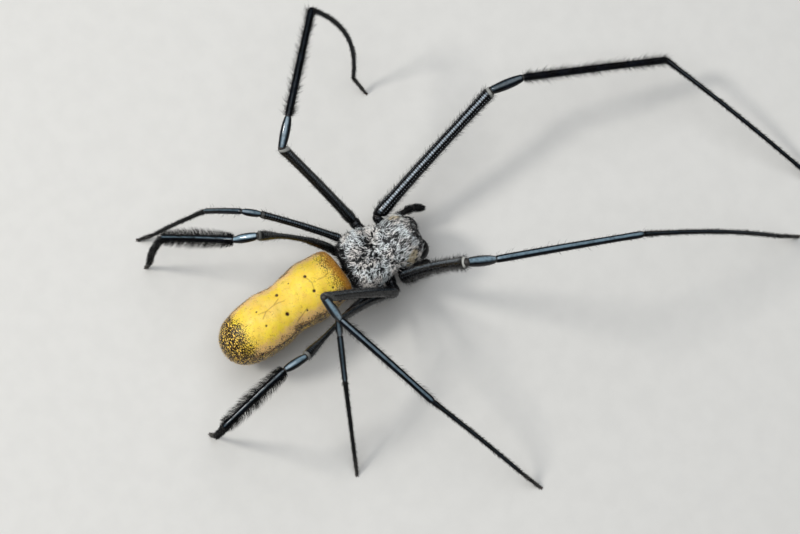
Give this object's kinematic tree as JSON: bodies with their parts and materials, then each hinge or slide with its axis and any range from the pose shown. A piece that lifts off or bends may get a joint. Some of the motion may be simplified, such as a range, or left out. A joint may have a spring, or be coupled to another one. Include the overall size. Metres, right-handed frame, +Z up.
{
  "type": "golden silk orb weaver spider",
  "caption": "Large female orb-weaving spider with a raised head, a long waisted yellow abdomen and slender glossy black legs, standing still on a level floor.",
  "frame": {"origin": "on the floor, under the middle of the whole spider's outline", "axes": "+Z up, the head looks toward -Y, the spider's left side is +X"},
  "size_m": [0.0626, 0.083, 0.0259],
  "materials": {
    "carapace": "black cuticle under a close coat of silver-white hairs",
    "abdomen_skin": "soft skin, yellow above, amber in front, dark brown and speckled behind",
    "leg_cuticle": "glossy black cuticle with short fine hairs",
    "jaw_cuticle": "polished black cuticle"
  },
  "bodies": {
    "root": {"cephalothorax": "carapace", "abdomen": "abdomen_skin", "pedicel": "leg_cuticle", "chelicera_left": "jaw_cuticle", "fang_left": "jaw_cuticle", "palp_left": "leg_cuticle", "leg_left_1_coxa": "leg_cuticle", "leg_left_1_femur": "leg_cuticle", "leg_left_1_patella": "leg_cuticle", "leg_left_1_tibia": "leg_cuticle", "leg_left_1_metatarsus": "leg_cuticle", "leg_left_1_tarsus": "leg_cuticle", "leg_left_2_coxa": "leg_cuticle", "leg_left_2_femur": "leg_cuticle", "leg_left_2_patella": "leg_cuticle", "leg_left_2_tibia": "leg_cuticle", "leg_left_2_metatarsus": "leg_cuticle", "leg_left_2_tarsus": "leg_cuticle", "leg_left_3_coxa": "leg_cuticle", "leg_left_3_femur": "leg_cuticle", "leg_left_3_patella": "leg_cuticle", "leg_left_3_tibia": "leg_cuticle", "leg_left_3_metatarsus": "leg_cuticle", "leg_left_3_tarsus": "leg_cuticle", "leg_left_4_coxa": "leg_cuticle", "leg_left_4_femur": "leg_cuticle", "leg_left_4_patella": "leg_cuticle", "leg_left_4_tibia": "leg_cuticle", "leg_left_4_metatarsus": "leg_cuticle", "leg_left_4_tarsus": "leg_cuticle", "chelicera_right": "jaw_cuticle", "fang_right": "jaw_cuticle", "palp_right": "leg_cuticle", "leg_right_1_coxa": "leg_cuticle", "leg_right_1_femur": "leg_cuticle", "leg_right_1_patella": "leg_cuticle", "leg_right_1_tibia": "leg_cuticle", "leg_right_1_metatarsus": "leg_cuticle", "leg_right_1_tarsus": "leg_cuticle", "leg_right_2_coxa": "leg_cuticle", "leg_right_2_femur": "leg_cuticle", "leg_right_2_patella": "leg_cuticle", "leg_right_2_tibia": "leg_cuticle", "leg_right_2_metatarsus": "leg_cuticle", "leg_right_2_tarsus": "leg_cuticle", "leg_right_3_coxa": "leg_cuticle", "leg_right_3_femur": "leg_cuticle", "leg_right_3_patella": "leg_cuticle", "leg_right_3_tibia": "leg_cuticle", "leg_right_3_metatarsus": "leg_cuticle", "leg_right_3_tarsus": "leg_cuticle", "leg_right_4_coxa": "leg_cuticle", "leg_right_4_femur": "leg_cuticle", "leg_right_4_patella": "leg_cuticle", "leg_right_4_tibia": "leg_cuticle", "leg_right_4_metatarsus": "leg_cuticle", "leg_right_4_tarsus": "leg_cuticle"}
  },
  "joints": []
}
